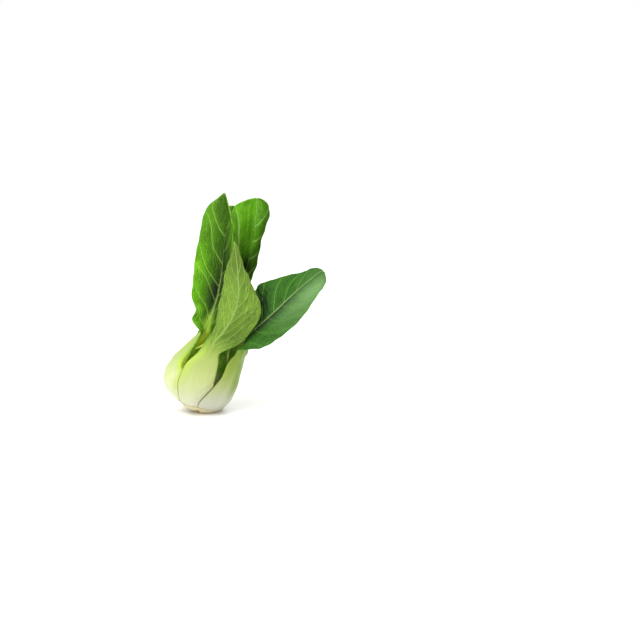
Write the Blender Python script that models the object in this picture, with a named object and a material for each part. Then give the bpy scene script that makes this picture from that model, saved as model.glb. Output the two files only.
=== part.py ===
# A head of bok choy, cut at the root and standing on its cut face.
# Every leaf is a piece of its own, with a thick pale stalk below and a thin green blade above.
# Lengths are in millimetres in the tables and are turned into metres when a mesh is made.
# X is to the viewer's right, Y is away from the viewer, Z is up from the cut face.
import math

import bpy
import numpy as np

MM = 0.001

# Bulb: the swollen lower part, where the stalks lie on each other like the scales of an onion
BULB_Z = [0.0, 2.0, 4.5, 8.7, 13.0, 19.0, 25.0, 30.0, 36.0, 45.0, 54.0]
BULB_RADIUS = [12.8, 15.2, 18.2, 22.4, 25.7, 29.8, 32.2, 33.0, 33.2, 32.4, 31.4]
BULB_CENTRE_X = [0.0, -0.3, -0.8, -1.2, -1.8, -2.6, -2.8, -2.6, -1.2, 1.8, 5.8]
STALK_ROUNDING = 0.16
GAP = 0.36
INNER_SLACK = 0.04
MARGIN_SLOPE = 0.6
MARGIN_REACH = 0.11
SHELL_TOP = 46.0
SHELL_FADE = 36.0

# Stem butt: what is left of the short root stem, with the flat cut face below
BUTT_Z = [0.0, 0.8, 2.0, 3.5, 6.0, 8.6, 10.6, 11.6]
BUTT_RADIUS = [12.4, 12.5, 11.2, 9.8, 7.6, 5.0, 2.6, 1.2]
BUTT_SIDES = 48

# Stalk half width as an angle about the bulb's axis, at heights in mm
STALK_Z = [0.0, 9.0, 19.0, 32.0, 45.0, 54.0]
STALK_HALF_DEG = [70.0, 63.0, 44.0, 30.5, 26.0, 20.0]
STALK_EDGE = 1.0
STALK_BELLY = 6.6
BLADE_EDGE = 0.8

# Millimetres above a stalk's top over which its thicker edge thins out to the blade
LIP_FADE = (14.0, 34.0)

# Heights of the rows of points that all stalks share, and their places across a leaf
ROWS = [3.0, 5.0, 7.0, 9.5, 12.5, 16.0, 20.0, 24.5, 29.0, 33.5, 38.0, 42.0, 46.0]
COLUMNS = [-1.0, -0.87, -0.7, -0.5, -0.3, -0.13, 0.0, 0.13, 0.3, 0.5, 0.7, 0.87, 1.0]
FEW_COLUMNS = [-1.0, -0.85, -0.64, -0.41, -0.2, 0.0, 0.2, 0.41, 0.64, 0.85, 1.0]


def curve(knots, values, x):
    """Smooth curve through the values at the knots; each slope is the mean of its neighbours'."""
    k = np.asarray(knots, float)
    v = np.asarray(values, float)
    x = np.asarray(x, float)
    flat = v.ndim == 1
    if flat:
        v = v[:, None]
    h = np.diff(k)
    d = np.diff(v, axis=0) / h[:, None]
    inner = (d[:-1] * h[1:, None] + d[1:] * h[:-1, None]) / (h[1:] + h[:-1])[:, None]
    m = np.vstack([d[:1], inner, d[-1:]])
    i = np.clip(np.searchsorted(k, x, side="right") - 1, 0, len(k) - 2)
    t = np.clip((x - k[i]) / h[i], 0.0, 1.0)[..., None]
    hi = h[i][..., None]
    out = ((2 * t**3 - 3 * t**2 + 1) * v[i] + (t**3 - 2 * t**2 + t) * hi * m[i]
           + (3 * t**2 - 2 * t**3) * v[i + 1] + (t**3 - t**2) * hi * m[i + 1])
    return out[..., 0] if flat else out


def ease(x, lo, hi):
    """Runs smoothly from 0 at lo to 1 at hi."""
    t = np.clip((np.asarray(x, float) - lo) / (hi - lo), 0.0, 1.0)
    return t * t * (3 - 2 * t)


def soft_min(a, b, k=1.2):
    """The smaller of two, with the corner between them rounded over k mm."""
    h = np.clip(0.5 + 0.5 * (b - a) / k, 0.0, 1.0)
    return b * (1 - h) + a * h - k * h * (1 - h)


def turn(a):
    """An angle brought into the range from minus half a turn to half a turn."""
    return (np.asarray(a, float) + math.pi) % (2 * math.pi) - math.pi


class Leaf:
    """A leaf: its place in the bulb, then the stations of its midrib and its two edges above it."""

    def __init__(self, name, azimuth, start, stations, narrow=(1.0, 1.0), belly=STALK_BELLY, fold=0.5,
                 blade_from=22.0, wave=(1.0, 3.0, 0.0), rows=5.5, shrink=0.0, top=SHELL_TOP, lip=0.0):
        self.name = name
        self.azimuth = azimuth
        self.start = start
        self.stations = stations
        self.narrow = narrow
        self.belly = belly
        self.fold = fold
        self.blade_from = blade_from
        self.wave = wave
        self.rows = rows
        self.shrink = shrink
        self.top = top
        self.lip = lip
        self.outer = []


def half_angle(leaf, z):
    low, high = leaf.narrow
    return np.radians(curve(STALK_Z, STALK_HALF_DEG, z)) * (low + (high - low) * ease(z, 21.0, 36.0))


def centre_angle(leaf, z):
    a0, a1 = leaf.azimuth
    return np.radians(a0 + (a1 - a0) * ease(z, 12.0, 42.0))


def lip_thickness(leaf, t):
    """The thicker edge that a stalk has on its t = +1 side."""
    return leaf.lip * ease(t, 0.35, 0.9)


def stalk_thickness(leaf, z, t):
    """Crescent section: thick in the middle, thin at both edges, thinner again near the cut."""
    t = np.asarray(t, float)
    middle = curve([0.0, 6.0, 18.0, 32.0, 54.0], [1.6, 2.8, 5.6, 6.6, 5.8], z) * leaf.belly / STALK_BELLY
    return STALK_EDGE + (middle - STALK_EDGE) * (1 - t**2) + lip_thickness(leaf, t) * ease(z, 22.0, 36.0)


def outer_radius(leaf, angle, z):
    """Distance of the leaf's outer face from the bulb's axis, under every leaf outside it."""
    d = turn(angle - centre_angle(leaf, z))
    rounding = STALK_ROUNDING * (0.12 + 0.88 * ease(z, 3.0, 24.0))
    r = curve(BULB_Z, BULB_RADIUS, z) * (1 - rounding * d**2) - leaf.shrink * ease(z, 0.0, 12.0)
    for other in leaf.outer:
        half = half_angle(other, z)
        off = turn(angle - centre_angle(other, z))
        inside = np.clip(off, -half, half)
        at = centre_angle(other, z) + inside
        under = outer_radius(other, at, z) - stalk_thickness(other, z, inside / half)
        under = under - GAP - INNER_SLACK * leaf.shrink
        beyond = np.maximum(np.abs(off - inside) - MARGIN_REACH, 0.0)
        r = soft_min(r, under + MARGIN_SLOPE * beyond * r)
    return r


def butt_radius(z):
    return np.where(np.asarray(z) < BUTT_Z[-1], curve(BUTT_Z, BUTT_RADIUS, z), 0.0)


def shell_points(leaf, z, t):
    """Outer and inner points of the stalk inside the bulb at height z and place t across it."""
    z, t = np.broadcast_arrays(np.asarray(z, float), np.asarray(t, float))
    angle = centre_angle(leaf, z) + t * half_angle(leaf, z)
    r_out = outer_radius(leaf, angle, z)
    r_in = np.maximum(r_out - stalk_thickness(leaf, z, t), butt_radius(z) + GAP)
    r_in = np.minimum(r_in, r_out - 0.62)
    cx = curve(BULB_Z, BULB_CENTRE_X, z)
    out = np.stack([cx + r_out * np.cos(angle), r_out * np.sin(angle), z], axis=-1)
    inn = np.stack([cx + r_in * np.cos(angle), r_in * np.sin(angle), z], axis=-1)
    return out, inn


def free_points(leaf, u, t):
    """Middle of the leaf above the bulb: three smooth curves joined by a rounded fold."""
    fade = leaf.top - (SHELL_TOP - SHELL_FADE)
    lead = []
    for z in (fade, leaf.top):
        out, inn = shell_points(leaf, z, np.array([0.0, -1.0, 1.0]))
        lead.append((out + inn) / 2)
    pts = np.concatenate([np.array(lead), np.array(leaf.stations, float)])
    mid, low, high = pts[:, 0], pts[:, 1], pts[:, 2]
    step = np.linalg.norm(np.diff(mid, axis=0), axis=1)
    step = np.maximum(step, 0.5 * np.linalg.norm(np.diff(low + high, axis=0), axis=1) / 2)
    knots = np.concatenate([[fade, leaf.top], leaf.top + np.cumsum(step[1:])])
    leaf.end = knots[-1]
    leaf.knots = knots
    m = curve(knots, mid, u)
    a = curve(knots, low, u)
    b = curve(knots, high, u)
    tt = t[..., None]
    bow = m + tt * (b - a) / 2 + tt**2 * ((a + b) / 2 - m)
    fold = m + np.where(tt > 0, tt * (b - m), -tt * (a - m))
    soft = leaf.fold * ease(u, leaf.top, leaf.top + leaf.blade_from + 20)[..., None]
    p = bow * (1 - soft) + fold * soft
    n = normals(p)
    size, count, phase = leaf.wave
    length = leaf.end - leaf.top
    along = (u - leaf.top) / length
    grow = ease(along, 0.12, 0.4) * (1 - ease(along, 0.86, 1.0))
    ripple = np.sin(2 * math.pi * count * along + phase + np.where(t > 0, 0.0, 2.1))
    return p + n * (size * grow * np.abs(t)**2.5 * ripple)[..., None], n


def normals(p):
    """Unit normals of a grid of points, towards the inner face of the leaf."""
    du = np.gradient(p, axis=0)
    dt = np.gradient(p, axis=1)
    n = np.cross(du, dt)
    return n / np.maximum(np.linalg.norm(n, axis=-1, keepdims=True), 1e-9)


def blade_thickness(leaf, u, t):
    """Stalk crescent below, thin blade with a thicker midrib above."""
    along = ease(u, leaf.top, leaf.top + leaf.blade_from)
    stalk_mid = curve([0.0, 0.6, 1.0], [5.8, 4.6, 3.0], along) * leaf.belly / STALK_BELLY
    stalk = STALK_EDGE + (stalk_mid - STALK_EDGE) * (1 - t**2)
    rib = 0.5 + 2.0 * (1 - ease(u, leaf.top + leaf.blade_from, leaf.end))
    blade = BLADE_EDGE + rib * np.exp(-(t / 0.17)**2)
    lip = lip_thickness(leaf, t) * (1 - ease(u, leaf.top + LIP_FADE[0], leaf.top + LIP_FADE[1]))
    return stalk * (1 - along) + blade * along + lip


def leaf_faces(leaf, u, t):
    """The leaf's outer and inner face at rows u and columns t, both as grids of points in mm."""
    u, t = np.meshgrid(u, t, indexing="ij")
    mid, n = free_points(leaf, u, t)
    thick = blade_thickness(leaf, u, t)[..., None]
    out_s, inn_s = shell_points(leaf, np.minimum(u, leaf.top), t)
    b = ease(u, leaf.top - (SHELL_TOP - SHELL_FADE), leaf.top)[..., None]
    out = out_s * (1 - b) + (mid - n * thick / 2) * b
    inn = inn_s * (1 - b) + (mid + n * thick / 2) * b
    return out, inn


def grid_solid(out, inn):
    """Closed solid between two like grids; both faces are cut along the same diagonals."""
    rows, cols = out.shape[:2]
    verts = np.concatenate([out.reshape(-1, 3), inn.reshape(-1, 3)])
    half = rows * cols
    faces = []
    for i in range(rows - 1):
        for j in range(cols - 1):
            a = i * cols + j
            b = a + 1
            c = a + cols
            d = c + 1
            if (i + j) % 2:
                tris = [(a, b, d), (a, d, c)]
            else:
                tris = [(a, b, c), (b, d, c)]
            for p, q, r in tris:
                faces.append((p, q, r))
                faces.append((half + p, half + r, half + q))
    rim = [j for j in range(cols)]
    rim += [i * cols + cols - 1 for i in range(1, rows)]
    rim += [(rows - 1) * cols + j for j in range(cols - 2, -1, -1)]
    rim += [i * cols for i in range(rows - 2, 0, -1)]
    for p, q in zip(rim, rim[1:] + rim[:1]):
        faces.append((q, p, half + p))
        faces.append((q, half + p, half + q))
    return verts, faces


def material(name, colour, roughness):
    mat = bpy.data.materials.new(name)
    mat.use_nodes = True
    shader = mat.node_tree.nodes["Principled BSDF"]
    shader.inputs["Base Color"].default_value = (*colour, 1.0)
    shader.inputs["Roughness"].default_value = roughness
    shader.inputs["Metallic"].default_value = 0.0
    mat.diffuse_color = (*colour, 1.0)
    return mat


def make_object(name, verts, faces, mat):
    mesh = bpy.data.meshes.new(name)
    mesh.from_pydata((np.asarray(verts) * MM).tolist(), [], faces)
    mesh.update()
    volume = 0.0
    pts = np.asarray(verts)
    for f in faces:
        volume += np.dot(pts[f[0]], np.cross(pts[f[1]], pts[f[2]])) / 6 if len(f) == 3 else 0.0
    if volume < 0:
        mesh.flip_normals()
    mesh.materials.append(mat)
    obj = bpy.data.objects.new(name, mesh)
    bpy.context.scene.collection.objects.link(obj)
    return obj


# Stations of each leaf above the bulb, in mm: midrib, edge at t = -1, edge at t = +1
FRONT = Leaf("leaf_front", (263, 263.4), 3.0, narrow=(0.83, 1.0), fold=0.35, blade_from=14,
             wave=(0.8, 3.0, 0.6), stations=[
    [(6, -28, 55), (-4.5, -23, 55), (14, -27, 55)],
    [(8.5, -27, 62), (1, -21.5, 62), (21, -26.5, 58.5)],
    [(12, -26.5, 67), (5, -20.5, 68), (30, -25.5, 62.5)],
    [(17, -27.5, 73), (8.5, -20, 74), (38, -25, 71)],
    [(22.5, -28.5, 81.5), (11.5, -20, 81), (46, -24, 82)],
    [(27.5, -29, 92.5), (13.3, -20, 94), (47.5, -23, 92)],
    [(30, -29, 107), (16, -19.5, 109), (43.2, -22, 104.5)],
    [(29.5, -27.5, 119), (19, -19.5, 120.5), (38.5, -22, 117)],
    [(28.5, -25.5, 130), (22.5, -20, 131.5), (32.5, -22, 128)],
    [(27, -22.8, 141), (25, -21, 141.5), (29.5, -21.5, 140)],
    [(26.6, -21.6, 146.5), (26.2, -21.5, 146.2), (27, -21.5, 146.2)],
])
LEFT = Leaf("leaf_left", (191, 207), 5.0, narrow=(1.0, 1.1), fold=0.75, blade_from=28, wave=(0.9, 4.0, 1.0),
            top=38.0, lip=4.2, stations=[
    [(-25, -9.5, 46), (-18.5, 6, 47), (-16.4, -23, 45)],
    [(-17.8, -5, 53.5), (-5.5, 3.5, 54), (-11.8, -20.3, 52.5)],
    [(-10.8, -3.5, 60), (2, -0.5, 60), (-7.3, -17, 59.8)],
    [(-4.8, -3.8, 65.5), (7, -4.5, 65.5), (-4.4, -14.2, 65.5)],
    [(0.5, -4.5, 70), (8.5, -8.5, 70), (-3.5, -12.3, 69.5)],
    [(2.5, -5, 75), (9.5, -10, 75), (-7.5, -11.5, 75)],
    [(4.5, -4.5, 80.5), (14, -10, 79), (-9.7, -11, 80.5)],
    [(7, -4, 87), (19, -10.5, 86), (-6.2, -11, 87.5)],
    [(10.5, -3, 97), (23.5, -11, 95), (-9.8, -11, 98)],
    [(13, -2, 108), (26, -12, 107), (-9.3, -11, 108.5)],
    [(15.2, -1, 122), (26.5, -12.5, 122), (-7.3, -10.5, 122.5)],
    [(16.5, 0, 137), (25, -12, 137), (-5.2, -9.5, 138)],
    [(18.5, 0.5, 150), (24, -10, 150), (-2.6, -8.5, 151)],
    [(20.8, 1, 162), (23.5, -7, 161), (0.5, -7, 164)],
    [(20, 1, 173), (21.8, -3, 171), (5.5, -5, 174)],
    [(18.3, 0.6, 180), (19.3, -1, 179), (13, -2, 179.8)],
    [(17.6, 0.4, 183.2), (18.1, 0.2, 182.9), (17, 0, 183)],
])
RIGHT = Leaf("leaf_right", (321, 329.3), 1.2, narrow=(1.0, 0.92), fold=0.45, blade_from=16,
             wave=(1.0, 3.5, 0.3), stations=[
    [(31.5, -19, 54), (26.5, -24.6, 53.5), (36, -10.5, 54)],
    [(34, -18.5, 60.5), (28.5, -29, 58), (35, -9, 65)],
    [(37.5, -18.5, 66.5), (33, -31, 58.5), (36.5, -8, 76)],
    [(42, -18.5, 71.5), (39.5, -32, 59.3), (40, -6.5, 86)],
    [(48, -18.5, 77), (47, -33, 61), (41.5, -6, 99)],
    [(54, -18.5, 83), (56, -33, 65), (44.8, -6, 108)],
    [(61, -18.5, 89.5), (66, -32, 71), (53.5, -6, 111.5)],
    [(67, -17.5, 95.5), (76, -30, 80), (63, -6.5, 114)],
    [(73.5, -17, 101.5), (85, -28, 91), (72, -7, 117)],
    [(80, -16, 107.5), (92, -25, 100), (81, -8.5, 119.5)],
    [(88, -15, 114), (98.4, -21, 108.7), (88, -10, 122)],
    [(95, -14, 119.5), (100.6, -17.5, 115.5), (94, -12, 123)],
    [(98.3, -14, 121), (99.6, -14.8, 119.8), (97.3, -13.5, 122.2)],
])
BACK_LEFT = Leaf("leaf_back_left", (116, 112), 2.0, fold=0.4, blade_from=18,
                 wave=(1.0, 3.0, 2.0), stations=[
    [(-5, 26, 54), (3.5, 27.5, 54), (-13.5, 19.5, 54)],
    [(1, 22.5, 64), (8.5, 25.5, 63), (-7, 16, 64)],
    [(6.5, 20.5, 77), (15, 26, 76), (-4, 12.5, 78)],
    [(11, 21, 91), (19.5, 29, 90), (-3, 11, 92)],
    [(16, 22.5, 106), (24, 31, 105), (-1, 11, 107)],
    [(20, 24.5, 121), (28, 32, 120), (2, 12.5, 122)],
    [(22, 25.5, 136), (30.5, 32, 135), (5, 14.5, 137)],
    [(22.5, 26, 149), (31, 32, 148), (7, 15, 149)],
    [(22, 25.5, 159), (29.5, 30.5, 158), (10, 16.5, 160)],
    [(21.3, 24.8, 166), (26.5, 28.5, 165.5), (14.5, 19.5, 166.5)],
    [(21.2, 24, 169.5), (23.8, 25.5, 169.2), (18.5, 22.2, 169.4)],
])
BACK_RIGHT = Leaf("leaf_back_right", (42, 42), 3.0, fold=0.35, blade_from=18,
                  wave=(1.0, 3.0, 4.0), stations=[
    [(27.5, 19.5, 54), (32.5, 11, 54), (20, 25, 54)],
    [(26.5, 18, 64), (35, 9.5, 63), (18, 21.5, 64)],
    [(27, 18.5, 77), (36, 8.5, 76), (17, 17.5, 78)],
    [(29, 20.5, 90), (37, 8.5, 90), (17.5, 15, 92)],
    [(31.5, 24, 106), (38, 9.5, 106), (19, 14.5, 107)],
    [(36, 27, 124), (42, 11, 122), (19.5, 15, 126)],
    [(39.5, 28, 143), (48, 12, 142), (21, 15.8, 144)],
    [(41.8, 27.3, 157), (51.5, 12, 156), (22, 16.8, 158)],
    [(42.6, 26, 168), (53.2, 12.3, 167.5), (23.5, 18, 167.5)],
    [(43, 24.8, 174), (51.2, 15.5, 173), (29, 19.5, 172.2)],
    [(43.2, 23.7, 176), (47.5, 19.5, 175.3), (37, 22, 175.2)],
])
INNER_FRONT = Leaf("inner_leaf_front", (292, 292), 7.0, narrow=(0.85, 0.85), belly=5.0, shrink=7.0,
                   fold=0.3, blade_from=12, wave=(0.6, 2.0, 0.0), stations=[
    [(12, -18, 54), (6.5, -17.5, 54), (19.5, -15.5, 54)],
    [(15.5, -16.5, 63), (9, -16.5, 63), (25, -15.5, 62)],
    [(19, -15.5, 73), (11, -16, 74), (29, -15, 73)],
    [(22, -15, 84), (14, -16, 85), (31, -15, 84)],
    [(24, -15, 94), (18, -16, 95), (29.5, -15.5, 94)],
    [(25, -15.5, 102), (23.5, -15.8, 101.5), (26.5, -15.6, 101.5)],
])
INNER_BACK = Leaf("inner_leaf_back", (75, 75), 7.0, narrow=(0.85, 0.85), belly=5.0, shrink=8.0, fold=0.3,
                  blade_from=14, wave=(0.7, 2.5, 1.0), stations=[
    [(12, 15.5, 54), (19, 13, 54), (5.5, 16, 54)],
    [(15, 13, 64), (22, 10.5, 64), (8, 14, 64)],
    [(18, 12.5, 76), (26, 8.5, 76), (10.5, 13, 77)],
    [(20.5, 12.5, 89), (29, 8, 89), (12.5, 11.5, 90)],
    [(22.5, 12.5, 102), (30.5, 8, 102), (14.5, 11, 103)],
    [(24.5, 13, 113), (29.5, 10, 113), (18.5, 11.5, 114)],
    [(25.3, 13, 119), (26.7, 12.4, 118.5), (23.7, 12.6, 118.8)],
])
INNER_LEFT = Leaf("inner_leaf_left", (150, 140), 9.5, narrow=(0.8, 0.8), belly=4.4, shrink=8.0, fold=0.3,
                  blade_from=12, wave=(0.5, 2.0, 2.0), stations=[
    [(-1, 9.5, 54), (3.5, 11, 54), (-1.5, 5.5, 54)],
    [(3, 6.5, 62), (6.5, 8.5, 62), (4, 2.5, 62)],
    [(7.5, 5, 71), (10.5, 6.5, 71), (8.5, 0.5, 71)],
    [(11, 4, 81), (14, 5.5, 81), (12, 0, 81)],
    [(14, 4, 90), (16.3, 5, 90), (14.7, 1.3, 90)],
    [(15.7, 4, 96), (16.4, 4.4, 95.8), (15.9, 3.2, 95.8)],
])
HEART_RIGHT = Leaf("heart_leaf_right", (350, 350), 12.5, narrow=(0.9, 0.9), belly=3.6, shrink=15.0,
                   fold=0.3, blade_from=10, wave=(0.4, 2.0, 0.0), stations=[
    [(19, -3.5, 53), (17.5, -8.5, 53), (18.5, 1.5, 53)],
    [(21, -4, 61), (18.5, -9.5, 61), (20, 2, 61)],
    [(22.5, -4.2, 69), (20.5, -8.5, 69), (21.5, 1, 69)],
    [(23.5, -4.2, 75), (23, -5.2, 74.8), (23.2, -3.2, 74.8)],
])
HEART_LEFT = Leaf("heart_leaf_left", (215, 215), 12.5, narrow=(0.9, 0.9), belly=3.2, shrink=15.0, fold=0.3,
                  blade_from=10, wave=(0.3, 2.0, 1.0), stations=[
    [(5.5, -5, 52), (3.5, -1, 52), (9.5, -7.5, 52)],
    [(9.5, -4.5, 59), (8, -0.5, 59), (13, -7.5, 59)],
    [(12.5, -4, 65), (12, -2.8, 64.8), (13.6, -4.8, 64.8)],
])

# Outermost first: each leaf lies under all of those before it
ORDER = [RIGHT, BACK_LEFT, FRONT, BACK_RIGHT, LEFT,
         INNER_FRONT, INNER_BACK, INNER_LEFT, HEART_RIGHT, HEART_LEFT]

LEAF_COLOUR = {
    "leaf_front": (0.42, 0.58, 0.13),
    "leaf_left": (0.16, 0.38, 0.03),
    "leaf_right": (0.08, 0.24, 0.06),
    "leaf_back_left": (0.14, 0.36, 0.03),
    "leaf_back_right": (0.18, 0.42, 0.03),
    "inner_leaf_front": (0.20, 0.38, 0.04),
    "inner_leaf_back": (0.18, 0.37, 0.04),
    "inner_leaf_left": (0.24, 0.42, 0.05),
    "heart_leaf_right": (0.38, 0.55, 0.10),
    "heart_leaf_left": (0.42, 0.58, 0.12),
}


def build_leaf(leaf, columns):
    low = np.array([leaf.start] + [z for z in ROWS if leaf.start + 0.9 < z <= leaf.top])
    free_points(leaf, np.array([[leaf.top] * 2] * 2), np.array([[0.0, 1.0]] * 2))
    count = max(3, int(round((leaf.end - leaf.top) / leaf.rows)))
    high = np.linspace(leaf.top, leaf.end, count + 1)[1:]
    out, inn = leaf_faces(leaf, np.concatenate([low, high]), np.array(columns))
    verts, faces = grid_solid(out, inn)
    return make_object(leaf.name, verts, faces, material(leaf.name + "_skin", LEAF_COLOUR[leaf.name], 0.45))


def build_butt():
    z = np.array(BUTT_Z)
    r = np.array(BUTT_RADIUS)
    angle = np.linspace(0, 2 * math.pi, BUTT_SIDES, endpoint=False)
    ring = np.stack([np.outer(r, np.cos(angle)), np.outer(r, np.sin(angle)),
                     np.repeat(z[:, None], BUTT_SIDES, axis=1)], axis=-1)
    cx = curve(BULB_Z, BULB_CENTRE_X, z)
    ring[..., 0] += cx[:, None]
    verts = ring.reshape(-1, 3)
    faces = []
    for i in range(len(z) - 1):
        for j in range(BUTT_SIDES):
            k = (j + 1) % BUTT_SIDES
            a, b = i * BUTT_SIDES + j, i * BUTT_SIDES + k
            c, d = a + BUTT_SIDES, b + BUTT_SIDES
            faces.append((a, b, d))
            faces.append((a, d, c))
    top = (len(z) - 1) * BUTT_SIDES
    faces.append(tuple(range(BUTT_SIDES - 1, -1, -1)))
    faces.append(tuple(range(top, top + BUTT_SIDES)))
    return make_object("stem_butt", verts, faces, material("butt_skin", (0.72, 0.66, 0.45), 0.6))


for old in list(bpy.data.objects):
    bpy.data.objects.remove(old, do_unlink=True)
for rank, one in enumerate(ORDER):
    one.outer = ORDER[:rank]
build_butt()
for one in ORDER:
    build_leaf(one, COLUMNS if one in ORDER[:5] else FEW_COLUMNS)
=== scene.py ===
# %% [markdown]
# # A head of bok choy, leaf by leaf
# A head of bok choy is a short root stem, cut flat, with thick pale stalks that lie on each other
# like the scales of an onion and open into thin green blades. The model gives each leaf as a plain
# solid. This lesson makes each of them again as a fine surface with veins, puckers, a rounded edge
# and a skin that turns from white to green. Lengths are in millimetres until a mesh is made.

# %% Frame and helpers
import math

import bpy
import numpy as np
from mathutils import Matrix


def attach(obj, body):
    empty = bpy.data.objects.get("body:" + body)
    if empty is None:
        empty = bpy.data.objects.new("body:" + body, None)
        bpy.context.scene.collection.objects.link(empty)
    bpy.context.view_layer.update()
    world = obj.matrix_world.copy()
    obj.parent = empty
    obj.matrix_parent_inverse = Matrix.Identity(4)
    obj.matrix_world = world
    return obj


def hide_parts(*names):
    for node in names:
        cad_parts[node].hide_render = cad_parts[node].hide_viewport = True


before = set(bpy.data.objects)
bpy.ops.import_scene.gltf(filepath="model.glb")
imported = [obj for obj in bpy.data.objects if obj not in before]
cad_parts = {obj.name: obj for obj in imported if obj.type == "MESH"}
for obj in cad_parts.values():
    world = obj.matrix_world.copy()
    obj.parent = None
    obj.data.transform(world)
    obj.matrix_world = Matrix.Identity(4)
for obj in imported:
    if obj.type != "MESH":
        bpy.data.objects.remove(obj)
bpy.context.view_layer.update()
MM = 0.001

# %% [markdown]
# ## Camera
# The head is seen from a little above the table, from over a metre away, with a long lens, so its
# leaves hardly taper with distance. A camera could be aimed with a constraint, but a place and one
# tilt say the same thing in two lines and leave nothing live in the scene.

# %% Camera
LENS = 85.0
TILT_DEG = 78.0
camera = bpy.data.objects.new("camera", bpy.data.cameras.new("camera"))
camera.data.lens = LENS
camera.data.sensor_width = 36.0
camera.location = (0.0955, -1.2266, 0.3378)
camera.rotation_euler = (math.radians(TILT_DEG), 0.0, 0.0)
bpy.context.scene.collection.objects.link(camera)
bpy.context.scene.camera = camera
print("camera looks down by", 90 - TILT_DEG, "degrees")

# %% [markdown]
# ## Curves through stations
# A leaf is drawn as a naturalist would: a few stations along the midrib and along both edges, and
# a smooth curve through them. Blender's own curves would do, but their points could not then be
# asked for at any place, which the veins need later. So the curve is a small numpy function.


# %% Curve and ease
def curve(knots, values, x):
    """Cubic through the values at the knots; a knot's slope is the mean of its neighbours' slopes."""
    k = np.asarray(knots, float)
    v = np.asarray(values, float)
    x = np.asarray(x, float)
    flat = v.ndim == 1
    if flat:
        v = v[:, None]
    h = np.diff(k)
    d = np.diff(v, axis=0) / h[:, None]
    inner = (d[:-1] * h[1:, None] + d[1:] * h[:-1, None]) / (h[1:] + h[:-1])[:, None]
    m = np.vstack([d[:1], inner, d[-1:]])
    i = np.clip(np.searchsorted(k, x, side="right") - 1, 0, len(k) - 2)
    t = np.clip((x - k[i]) / h[i], 0.0, 1.0)[..., None]
    hi = h[i][..., None]
    out = (2 * t**3 - 3 * t**2 + 1) * v[i] + (t**3 - 2 * t**2 + t) * hi * m[i]
    out = out + (3 * t**2 - 2 * t**3) * v[i + 1] + (t**3 - t**2) * hi * m[i + 1]
    return out[..., 0] if flat else out


def ease(x, lo, hi):
    """Runs from 0 at lo to 1 at hi as three times the square less twice the cube."""
    t = np.clip((np.asarray(x, float) - lo) / (hi - lo), 0.0, 1.0)
    return t * t * (3 - 2 * t)


def soft_min(a, b, k=1.2):
    """The smaller of a and b, with the corner between them rounded over k."""
    h = np.clip(0.5 + 0.5 * (b - a) / k, 0.0, 1.0)
    return b * (1 - h) + a * h - k * h * (1 - h)


def turn(a):
    """An angle brought into the range from minus half a turn to half a turn."""
    return (np.asarray(a, float) + math.pi) % (2 * math.pi) - math.pi


print("half way along an ease:", float(ease(0.5, 0, 1)))

# %% [markdown]
# ## The bulb
# Below the neck each stalk is a crescent wrapped round the ones inside it. All crescents come from
# one round profile of radius against height. Where a stalk passes under its neighbour, its outer
# face dives to the neighbour's inner face, less a hair's gap. Working in angle and height keeps
# that rule simple: the smaller of two radii, with a soft corner.

# %% Profile of the bulb
BULB_Z = [0.0, 2.0, 4.5, 8.7, 13.0, 19.0, 25.0, 30.0, 36.0, 45.0, 54.0]
BULB_RADIUS = [12.8, 15.2, 18.2, 22.4, 25.7, 29.8, 32.2, 33.0, 33.2, 32.4, 31.4]
BULB_CENTRE_X = [0.0, -0.3, -0.8, -1.2, -1.8, -2.6, -2.8, -2.6, -1.2, 1.8, 5.8]
BUTT_Z = [0.0, 0.8, 2.0, 3.5, 6.0, 8.6, 10.6, 11.6]
BUTT_RADIUS = [12.4, 12.5, 11.2, 9.8, 7.6, 5.0, 2.6, 1.2]
STALK_Z = [0.0, 9.0, 19.0, 32.0, 45.0, 54.0]
STALK_HALF_DEG = [70.0, 63.0, 44.0, 30.5, 26.0, 20.0]
STALK_ROUNDING = 0.16
STALK_EDGE = 1.0
STALK_BELLY = 6.6
LIP_FADE = (14.0, 34.0)
GAP = 0.36
INNER_SLACK = 0.04
MARGIN_SLOPE = 0.6
MARGIN_REACH = 0.11
SHELL_TOP = 46.0
SHELL_FADE = 36.0


def half_angle(leaf, z):
    """Half the angle that a stalk spans at z: the table's value times a share eased from low to high."""
    low, high = leaf["narrow"]
    return np.radians(curve(STALK_Z, STALK_HALF_DEG, z)) * (low + (high - low) * ease(z, 21.0, 36.0))


def centre_angle(leaf, z):
    """Direction of the middle of a stalk: eased from its lower to its upper azimuth."""
    a0, a1 = leaf["azimuth"]
    return np.radians(a0 + (a1 - a0) * ease(z, 12.0, 42.0))


def lip_thickness(leaf, t):
    """The thicker edge that a stalk has on its side at +1, eased in from a third of the way across."""
    return leaf["lip"] * ease(t, 0.35, 0.9)


def stalk_thickness(leaf, z, t):
    """Crescent: edge plus the belly times one less the square of the place across, plus the lip."""
    t = np.asarray(t, float)
    middle = curve([0.0, 6.0, 18.0, 32.0, 54.0], [1.6, 2.8, 5.6, 6.6, 5.8], z) * leaf["belly"] / STALK_BELLY
    return STALK_EDGE + (middle - STALK_EDGE) * (1 - t**2) + lip_thickness(leaf, t) * ease(z, 22.0, 36.0)


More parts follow.
